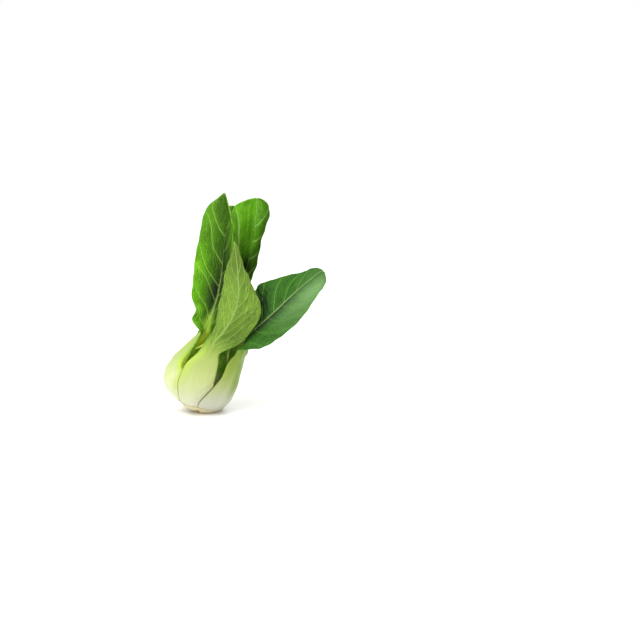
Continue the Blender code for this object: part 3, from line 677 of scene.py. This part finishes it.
# %% [markdown]
# ## Net group
# Between the side veins runs a net of finer ones, whose meshes are two to four millimetres wide,
# each a little cushion. Cells of a Voronoi pattern look just like it. The pattern is laid out in
# millimetres on the leaf, not in space, so that it follows the bent sheet, and its cells are drawn
# out along the side veins, as the real ones are.

# %% Net group
net, given, result = new_group(
    "net", {"Midrib mm": 0.0, "Along mm": 0.0, "Vein mm": 5.0, "Mesh mm": 3.0},
    ("Line", "Cushion", "Tone"))
flat = put(net, "CombineXYZ", {0: given["Midrib mm"], 1: given["Along mm"], 2: 0.0}).outputs[0]
slant = sum_of(net, "ADD", given["Vein mm"], times(net, given["Along mm"], 0.3))
beside = put(net, "CombineXYZ", {0: times(net, given["Midrib mm"], 0.6), 1: slant, 2: 0.0})
drift = put(net, "TexNoise", {"Vector": flat, "Scale": 0.16, "Detail": 2.0}, noise_dimensions="2D")
drift = put(net, "VectorMath", {0: drift.outputs["Color"], 1: (2.6, 2.6, 0.0)}, operation="MULTIPLY")
place = put(net, "VectorMath", {0: beside.outputs[0], 1: drift.outputs[0]}, operation="ADD").outputs[0]
scale = sum_of(net, "DIVIDE", 1.0, given["Mesh mm"])
cells = put(net, "TexVoronoi", {"Vector": place, "Scale": scale}, voronoi_dimensions="2D",
            feature="DISTANCE_TO_EDGE").outputs["Distance"]
fine = put(net, "TexVoronoi", {"Vector": place, "Scale": times(net, scale, 2.7)},
           voronoi_dimensions="2D", feature="DISTANCE_TO_EDGE").outputs["Distance"]
tone = put(net, "TexNoise", {"Vector": flat, "Scale": 0.09, "Detail": 3.0}, noise_dimensions="2D").outputs[0]
coarse_line = eased(net, cells, 0.0, 0.11, 1.0, 0.0)
fine_line = eased(net, fine, 0.0, 0.14, 0.55, 0.0)
cushion = eased(net, cells, 0.0, 0.32)
cushion = sum_of(net, "ADD", cushion, times(net, eased(net, fine, 0.0, 0.3), 0.35))
net.links.new(sum_of(net, "MAXIMUM", coarse_line, fine_line), result.inputs["Line"])
net.links.new(cushion, result.inputs["Cushion"])
net.links.new(tone, result.inputs["Tone"])
print("net group has", len(net.nodes), "nodes")

# %% [markdown]
# ## Stalk group
# A stalk is made of strings that run its whole length and show as faint stripes. It is nearly white
# where it was in the dark at the base and turns yellow-green towards the light. A few brown specks
# sit low down. The group gives the stripes, the height and the specks, all from millimetres along
# and across.

# %% Stalk group
stalk, given, result = new_group(
    "stalk", {"Midrib mm": 0.0, "Along mm": 0.0, "Fineness": 1.0},
    ("Stripe", "Height", "Speck"))
across = times(stalk, given["Midrib mm"], given["Fineness"])
drawn_out = times(stalk, given["Along mm"], 0.035)
strings = put(stalk, "CombineXYZ", {0: across, 1: drawn_out, 2: 0.0}).outputs[0]
stripe = put(stalk, "TexNoise", {"Vector": strings, "Scale": 0.55, "Detail": 4.0, "Roughness": 0.6},
             noise_dimensions="2D").outputs[0]
flat = put(stalk, "CombineXYZ", {0: given["Midrib mm"], 1: given["Along mm"], 2: 0.0}).outputs[0]
dots = put(stalk, "TexVoronoi", {"Vector": flat, "Scale": 0.16}, voronoi_dimensions="2D")
chosen = put(stalk, "SeparateColor", {0: dots.outputs["Color"]}).outputs[0]
speck = eased(stalk, dots.outputs["Distance"], 0.03, 0.07, 1.0, 0.0)
speck = times(stalk, speck, eased(stalk, chosen, 0.78, 0.8))
grain = put(stalk, "TexNoise", {"Vector": flat, "Scale": 1.6, "Detail": 3.0}, noise_dimensions="2D")
grain = times(stalk, grain.outputs[0], 0.12)
stalk.links.new(stripe, result.inputs["Stripe"])
stalk.links.new(sum_of(stalk, "ADD", stripe, grain), result.inputs["Height"])
stalk.links.new(speck, result.inputs["Speck"])
print("stalk group has", len(stalk.nodes), "nodes")

# %% [markdown]
# ## Skin of a leaf
# One material per leaf carries it from the white base to the green blade. The upper side of a blade
# is deep green and glossy, and the under side is lighter and matt, so the skin mixes two greens by
# which face it is on. The stalk's flesh goes from white to lime with height. One flank turns greener
# at its edge and is painted lighter or darker for the light that falls on it. The inside is painted
# bright yellow-green, as if lit, on the front and left stalks and in the heart, and painted shade
# dims it higher up. A dark border is a dried edge and a painted shadow where one stalk lies over the
# next, and a corky collar with a brown line shows where the stalk grew from the root stem. Painted
# shading from the leaf's soft spots darkens and lightens the blade, and a painted sheen lays pale
# reflections on it. Gloss and the light that soaks into the flesh are plain values on the shader,
# since they are the same all over.


# %% Leaf skin
def stored(tree, name):
    """A value that the mesh carries at its points."""
    return put(tree, "Attribute", attribute_name=name, attribute_type="GEOMETRY").outputs["Fac"]


WHITE, PALE, LIME = (0.76, 0.77, 0.52), (0.58, 0.66, 0.26), (0.36, 0.49, 0.085)
# Painted shade: the share that dims the stalk's inside higher up.
INSIDE_SHADE = (0.47, 0.63, 0.60)
# Dark border: a dried edge, darkened further as painted shadow where stalks overlap.
DRY_EDGE_AND_SEAM_SHADE = (0.13, 0.10, 0.015)
CORK, CORK_LINE, SPECK_BROWN = (0.64, 0.55, 0.30), (0.27, 0.18, 0.06), (0.22, 0.13, 0.05)
# Pale bluish green of the painted sheen.
SHEEN_PAINT = (0.27, 0.44, 0.20)
NET_MESH_MM = 2.3
COLLAR_HEIGHT, COLLAR_LEAST = 0.0059, 0.0024


def scaled(colour, share):
    """A colour times a share, kept at or below one."""
    return tuple(min(1.0, share * c) for c in colour)


def leaf_skin(name, upper, vein_upper, under=(0.18, 0.34, 0.04), vein_under=(0.42, 0.55, 0.18), gloss=0.42,
              rib_width=1.3, tone_top=(1.0, 1.0, 1.0), tone_low=(1.0, 1.0, 1.0), inside=(0.20, 0.33, 0.02),
              flank_green_and_light=(2.0, 3.0, (0.13, 0.22, 0.02)), flank_green_and_light_z=(0.006, 0.026), rim_at=0.955, side=(0.75, 0.75),
              vein_width=0.42, outer_painted_shading=0.25, border_z=(0.030, 0.048)):
    """Material of a leaf: stalk below, blade above, veins, net and specks on top."""
    mat = bpy.data.materials.new(name + "_skin")
    mat.use_nodes = True
    tree = mat.node_tree
    shader = tree.nodes["Principled BSDF"]
    x, along, along_mm = stored(tree, "midrib_mm"), stored(tree, "along"), stored(tree, "along_mm")
    inner, blade = stored(tree, "inner_face"), stored(tree, "blade")
    axes = put(tree, "SeparateXYZ", {0: put(tree, "TexCoord").outputs["Object"]}).outputs
    height, t = axes[2], stored(tree, "across")
    off_vein = stored(tree, "vein_mm")
    rib = use_group(tree, veins, {"Midrib mm": x, "Vein mm": off_vein, "Along": along,
                                  "Across": t, "Rib Width": rib_width, "Vein Width": vein_width})
    mesh = use_group(tree, net, {"Midrib mm": x, "Along mm": along_mm, "Vein mm": off_vein,
                                 "Mesh mm": NET_MESH_MM})
    string = use_group(tree, stalk, {"Midrib mm": x, "Along mm": along_mm, "Fineness": 1.0})
    flesh = mixed(tree, eased(tree, height, 0.004, 0.036), WHITE, PALE)
    flesh = mixed(tree, eased(tree, height, 0.028, 0.064), flesh, LIME)
    tone = mixed(tree, eased(tree, height, 0.010, 0.046), tone_low, tone_top)
    flesh = mixed(tree, 1.0, flesh, tone, "MULTIPLY")
    darker = mixed(tree, 1.0, flesh, (0.80, 0.90, 0.60), "MULTIPLY")
    striped = eased(tree, height, 0.008, 0.05, 0.10, 0.45)
    striped = times(tree, eased(tree, string["Stripe"], 0.36, 0.66), striped)
    flesh = mixed(tree, striped, flesh, darker)
    # One flank: greener at the stalk's edge and painted lighter or darker for the light it catches.
    turned = eased(tree, t, flank_green_and_light[0], flank_green_and_light[1])
    turned = times(tree, turned, eased(tree, height, *flank_green_and_light_z, 0.1, 0.9))
    flesh = mixed(tree, turned, flesh, flank_green_and_light[2])
    # The stalk's inside, with painted shade dimming it above about six centimetres.
    above = tuple(c * share for c, share in zip(inside, INSIDE_SHADE))
    deep = mixed(tree, eased(tree, height, 0.058, 0.074), inside, above)
    flesh = mixed(tree, inner, flesh, deep)
    # A dark line along the stalk's edge: a dried edge and painted shadow where one stalk lies over the next.
    border = times(tree, eased(tree, sum_of(tree, "ABSOLUTE", t), rim_at, rim_at + 0.03),
                    eased(tree, height, *border_z, 0.85, 0.0))
    flesh = mixed(tree, border, flesh, DRY_EDGE_AND_SEAM_SHADE)
    gentle = sum_of(tree, "SUBTRACT", COLLAR_HEIGHT, times(tree, axes[0], 0.19))
    steep = sum_of(tree, "SUBTRACT", COLLAR_HEIGHT, times(tree, axes[0], 0.6))
    level = sum_of(tree, "MAXIMUM", sum_of(tree, "MINIMUM", gentle, steep), COLLAR_LEAST)
    uneven = times(tree, sum_of(tree, "SUBTRACT", mesh["Tone"], 0.5), 0.0014)
    scar = sum_of(tree, "ADD", sum_of(tree, "SUBTRACT", height, level), uneven)
    collar = eased(tree, scar, -0.0003, 0.0003, 1.0, 0.0)
    flesh = mixed(tree, times(tree, collar, 0.7), flesh, CORK)
    line = eased(tree, sum_of(tree, "ABSOLUTE", scar), 0.0001, 0.0005, 0.75, 0.0)
    flesh = mixed(tree, line, flesh, CORK_LINE)
    low = eased(tree, height, 0.006, 0.03, 1.0, 0.0)
    flesh = mixed(tree, times(tree, string["Speck"], low), flesh, SPECK_BROWN)
    up = mixed(tree, eased(tree, mesh["Tone"], 0.35, 0.65), scaled(upper, 0.72), upper)
    up = mixed(tree, times(tree, rib["Halo"], 0.45), up, scaled(upper, 1.55))
    up = mixed(tree, times(tree, mesh["Line"], 0.45), up, scaled(upper, 1.7))
    down = mixed(tree, eased(tree, mesh["Tone"], 0.35, 0.65), scaled(under, 0.72), scaled(under, 0.97))
    down = mixed(tree, times(tree, mesh["Line"], 0.7), down, scaled(under, 1.7))
    # Painted shading from the soft spots: full on the inner face, a share of it on the outer face.
    share = eased(tree, inner, 0.0, 1.0, outer_painted_shading, 1.0)
    tint = times(tree, sum_of(tree, "SUBTRACT", stored(tree, "tint"), 1.0), share)
    tint = sum_of(tree, "ADD", tint, 1.0)
    face = mixed(tree, inner, down, up)
    face = put(tree, "VectorMath", {0: face, "Scale": tint}, operation="SCALE").outputs[0]
    # The painted sheen, mixed over the blade's colour.
    face = mixed(tree, stored(tree, "bloom"), face, SHEEN_PAINT)
    vein_colour = mixed(tree, inner, vein_under, vein_upper)
    # The veins take a weaker share of the painted shading.
    lit = sum_of(tree, "POWER", tint, 0.25)
    vein_colour = put(tree, "VectorMath", {0: vein_colour, "Scale": lit}, operation="SCALE").outputs[0]
    strength = times(tree, rib["Side Vein"], eased(tree, t, -0.02, 0.02, side[0], side[1]))
    shaded = mixed(tree, strength, face, vein_colour)
    shaded = mixed(tree, times(tree, rib["Rib"], 0.9), shaded, vein_colour)
    colour = mixed(tree, blade, flesh, shaded)
    tree.links.new(colour, shader.inputs["Base Color"])
    rough = put(tree, "MapRange", {"Value": mesh["Tone"], "To Min": gloss - 0.06, "To Max": gloss + 0.1})
    tree.links.new(rough.outputs[0], shader.inputs["Roughness"])
    raised = times(tree, rib["Height"], eased(tree, inner, 0.0, 1.0, 1.0, -0.6))
    raised = sum_of(tree, "ADD", raised, times(tree, mesh["Cushion"], 0.6))
    raised = times(tree, raised, blade)
    flesh_height = times(tree, string["Height"], eased(tree, blade, 0.0, 1.0, 0.16, 0.03))
    flesh_height = sum_of(tree, "ADD", flesh_height, times(tree, collar, 0.5))
    total = sum_of(tree, "ADD", raised, flesh_height)
    bump = put(tree, "Bump", {"Height": total, "Distance": 0.0010, "Strength": 0.8})
    tree.links.new(bump.outputs[0], shader.inputs["Normal"])
    shader.inputs["Subsurface Weight"].default_value = 0.32
    shader.inputs["Subsurface Radius"].default_value = (0.8, 1.0, 0.2)
    shader.inputs["Subsurface Scale"].default_value = 0.0035
    shader.inputs["Specular IOR Level"].default_value = 0.22
    return mat


# Painted light: the inside of the front and left stalks is painted bright yellow-green, as if lit.
SUNLIT = (0.80, 0.98, 0.08)
SKINS = {
    "leaf_front": dict(upper=(0.10, 0.24, 0.01), under=(0.145, 0.258, 0.024), vein_upper=(0.45, 0.58, 0.18),
                       vein_under=(0.28, 0.42, 0.09), gloss=0.55, rib_width=0.8, tone_top=(0.72, 0.70, 0.72),
                       tone_low=(0.78, 0.77, 0.90), inside=SUNLIT, rim_at=0.91, outer_painted_shading=1.0,
                       flank_green_and_light=(-0.25, -0.85, (0.37, 0.49, 0.07)), flank_green_and_light_z=(0.026, 0.052)),
    "leaf_left": dict(upper=(0.056, 0.168, 0.0015), vein_upper=(0.33, 0.52, 0.11), gloss=0.45, rib_width=2.2,
                      side=(0.5, 0.75), vein_width=0.36, tone_top=(0.90, 0.86, 1.15),
                      tone_low=(0.90, 0.87, 0.94), inside=SUNLIT, flank_green_and_light=(0.62, 0.95, (0.39, 0.52, 0.05))),
    "leaf_right": dict(upper=(0.022, 0.098, 0.004), under=(0.12, 0.25, 0.03), vein_upper=(0.26, 0.42, 0.12),
                       vein_under=(0.38, 0.50, 0.18), gloss=0.36, rib_width=0.75, side=(0.22, 0.6),
                       vein_width=0.3, tone_top=(0.45, 0.51, 0.20), tone_low=(0.63, 0.62, 0.76),
                       inside=(0.10, 0.19, 0.01), flank_green_and_light=(-0.28, 0.16, (0.16, 0.26, 0.03))),
    "leaf_back_left": dict(upper=(0.075, 0.26, 0.003), vein_upper=(0.36, 0.56, 0.12)),
    "leaf_back_right": dict(upper=(0.140, 0.40, 0.010), vein_upper=(0.58, 0.74, 0.32), gloss=0.38,
                            side=(0.6, 0.9), vein_width=0.5),
}
INNER_SKIN = dict(upper=(0.11, 0.27, 0.006), under=(0.082, 0.205, 0.005), vein_upper=(0.40, 0.55, 0.12),
                  vein_under=(0.32, 0.46, 0.10), gloss=0.45)
# Painted light: the heart's flesh and inside are painted bright, as if lit, where they show in the channel,
# and its dark border reaches higher as painted shade on a rim that catches the light.
HEART_SKIN = dict(upper=(0.34, 0.50, 0.03), under=(0.36, 0.50, 0.04), vein_upper=(0.50, 0.62, 0.12),
                  vein_under=(0.50, 0.62, 0.14), gloss=0.45, tone_top=(1.15, 1.3, 0.9),
                  inside=(0.70, 0.98, 0.08), border_z=(0.052, 0.068))
HEART = ("inner_leaf_left", "heart_leaf_left")
print("skins for", len(SKINS), "large leaves, one for the inner ones and one for the heart")

# %% [markdown]
# ## Making the leaves
# Every leaf now becomes one closed piece that takes the place of its plain solid. Large leaves get
# more columns than the small ones inside. Nothing needs a modifier: the grid is fine enough.

# %% Leaves
pieces = []
for one in ORDER:
    name = one["name"]
    big = name in SKINS
    out, inn, values = leaf_grid(one, (87) if big else 41)
    piece = closed_sheet("skin_" + name, out, inn, values)
    look = SKINS.get(name, HEART_SKIN if name in HEART else INNER_SKIN)
    piece.data.materials.append(leaf_skin(name, **look))
    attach(piece, "root")
    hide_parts(name)
    pieces.append(piece)
    print(piece.name, len(piece.data.polygons) * 2, "triangles")

# %% [markdown]
# ## The cut root stem
# The knife leaves a flat round face, pale in the middle with a ring of strings, and browned at its
# rim where it has dried. It is a profile of radius against height, carried round a circle, with the
# face below drawn as rings so that it stays flat and can carry its own pattern.


# %% Root stem
def butt_grid(sides=120):
    """Rings from the middle of the cut face out to its rim and up the profile, a little out of round."""
    angle = np.linspace(0, 2 * math.pi, sides, endpoint=False)
    face_r = np.linspace(0.0, BUTT_RADIUS[0] - 0.35, 14)[1:]
    side_z = np.linspace(0.4, BUTT_Z[-1], 24)
    z = np.concatenate([np.zeros(len(face_r)), [0.12], side_z])
    r = np.concatenate([face_r, [BUTT_RADIUS[0]], curve(BUTT_Z, BUTT_RADIUS, side_z)])
    wobble = 0.012 * np.sin(3 * angle + 0.5) + 0.008 * np.sin(7 * angle + 2.0)
    ring = r[:, None] * (1 + wobble[None, :] * ease(r, 6.0, 12.0)[:, None])
    x = ring * np.cos(angle) + curve(BULB_Z, BULB_CENTRE_X, z)[:, None]
    return np.stack([x, ring * np.sin(angle), np.repeat(z[:, None], sides, axis=1)], axis=-1)


rings = butt_grid()
rows, sides = rings.shape[:2]
index = np.arange(rows * sides).reshape(rows, sides)
index = np.concatenate([index, index[:, :1]], axis=1)
quads = np.stack([index[:-1, :-1], index[1:, :-1], index[1:, 1:], index[:-1, 1:]], axis=-1).reshape(-1, 4)
low_cap = [(rows * sides, int(a), int(b)) for a, b in zip(index[0, :-1], index[0, 1:])]
top_cap = [tuple(int(k) for k in index[-1, :-1][::-1])]
points = np.concatenate([rings.reshape(-1, 3), [[0.0, 0.0, 0.0]]]) * MM
mesh = bpy.data.meshes.new("skin_stem_butt")
mesh.from_pydata(points.tolist(), [], quads.tolist() + low_cap + top_cap)
mesh.polygons.foreach_set("use_smooth", np.ones(len(mesh.polygons), bool))
mesh.update()
butt = bpy.data.objects.new("skin_stem_butt", mesh)
bpy.context.scene.collection.objects.link(butt)
print("root stem:", len(mesh.polygons), "faces")

# %% Root stem skin
mat = bpy.data.materials.new("cut_stem_skin")
mat.use_nodes = True
tree = mat.node_tree
shader = tree.nodes["Principled BSDF"]
spot = put(tree, "TexCoord").outputs["Object"]
axes = put(tree, "SeparateXYZ", {0: spot}).outputs
level = put(tree, "CombineXYZ", {0: axes[0], 1: axes[1], 2: 0.0}).outputs[0]
radius = put(tree, "VectorMath", {0: level}, operation="LENGTH").outputs["Value"]
blot = put(tree, "TexNoise", {"Vector": spot, "Scale": 380.0, "Detail": 4.0}).outputs[0]
strings = put(tree, "TexVoronoi", {"Vector": level, "Scale": 900.0}, voronoi_dimensions="2D")
ring = times(tree, eased(tree, radius, 0.0062, 0.0070), eased(tree, radius, 0.0086, 0.0078))
dots = times(tree, ring, eased(tree, strings.outputs["Distance"], 0.18, 0.36, 1.0, 0.0))
colour = mixed(tree, eased(tree, blot, 0.35, 0.65), (0.66, 0.60, 0.38), (0.76, 0.74, 0.52))
colour = mixed(tree, dots, colour, (0.42, 0.34, 0.14))
browned = eased(tree, radius, 0.0098, 0.0122)
browned = times(tree, browned, eased(tree, blot, 0.25, 0.6, 0.5, 1.0))
colour = mixed(tree, browned, colour, (0.40, 0.25, 0.10))
tree.links.new(colour, shader.inputs["Base Color"])
tree.links.new(eased(tree, blot, 0.3, 0.7, 0.5, 0.75), shader.inputs["Roughness"])
bump = put(tree, "Bump", {"Height": blot, "Distance": 0.0004, "Strength": 0.6})
tree.links.new(bump.outputs[0], shader.inputs["Normal"])
shader.inputs["Subsurface Weight"].default_value = 0.15
shader.inputs["Subsurface Scale"].default_value = 0.002
butt.data.materials.append(mat)
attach(butt, "root")
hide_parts("stem_butt")
print("cut face is", 2 * BUTT_RADIUS[0], "mm across")

# %% [markdown]
# ## Table and light
# A pale table and soft light from large lamps suit a vegetable: the waxy blades need something wide
# to mirror, and hard lamps would burn spots on them. A wide sun keeps the whole table evenly bright
# up to the edge of the picture, and four panels shape the head; the low one reaches into the
# channels between the stalks.

# %% Table
bpy.ops.mesh.primitive_plane_add(size=24.0, location=(0, 0, 0))
table = bpy.context.object
table.name = "table"
mat = bpy.data.materials.new("table_white")
mat.use_nodes = True
shader = mat.node_tree.nodes["Principled BSDF"]
tree = mat.node_tree
grain = put(tree, "TexNoise", {"Vector": put(tree, "TexCoord").outputs["Object"], "Scale": 30.0}).outputs[0]
tree.links.new(eased(tree, grain, 0.3, 0.7, 0.30, 0.33), shader.inputs["Roughness"])
shader.inputs["Base Color"].default_value = (0.95, 0.95, 0.95, 1.0)
shader.inputs["Specular IOR Level"].default_value = 0.3
table.data.materials.append(mat)
print("table is 24 m wide, so that its edge stays out of sight")


# %% Light
def panel(name, place, size, power, aim=(0.02, 0.0, 0.08)):
    """A square lamp at a place, turned so that it faces the head."""
    lamp = bpy.data.lights.new(name, "AREA")
    lamp.size = size
    lamp.energy = power
    made = bpy.data.objects.new(name, lamp)
    bpy.context.scene.collection.objects.link(made)
    away = np.array(place) - np.array(aim)
    made.location = place
    made.rotation_euler = (math.atan2(math.hypot(away[0], away[1]), away[2]), 0.0,
                           math.atan2(away[1], away[0]) + math.pi / 2)
    return made


panel("panel_left", (-0.70, -0.80, 0.80), 0.6, 5.0)
panel("panel_right", (0.85, -0.45, 0.60), 0.5, 2.0)
panel("panel_back", (0.25, 0.85, 0.65), 0.6, 5.0)
panel("panel_low", (-0.22, -0.80, 0.10), 0.45, 1.7, (-0.01, 0.0, 0.06))
sun = bpy.data.lights.new("soft_sun", "SUN")
sun.energy = 2.3
sun.angle = math.radians(40)
sun_object = bpy.data.objects.new("soft_sun", sun)
sun_object.rotation_euler = (math.radians(20), math.radians(-14), 0.0)
bpy.context.scene.collection.objects.link(sun_object)
world = bpy.data.worlds.new("pale_room")
world.use_nodes = True
air = world.node_tree.nodes["Background"]
tree = world.node_tree
upward = put(tree, "SeparateXYZ", {0: put(tree, "TexCoord").outputs["Generated"]}).outputs[2]
tree.links.new(eased(tree, upward, 0.15, 0.5, 1.0, 0.5), air.inputs["Strength"])
air.inputs["Color"].default_value = (1.0, 1.0, 1.0, 1.0)
bpy.context.scene.world = world
bpy.context.scene.view_settings.view_transform = "Standard"
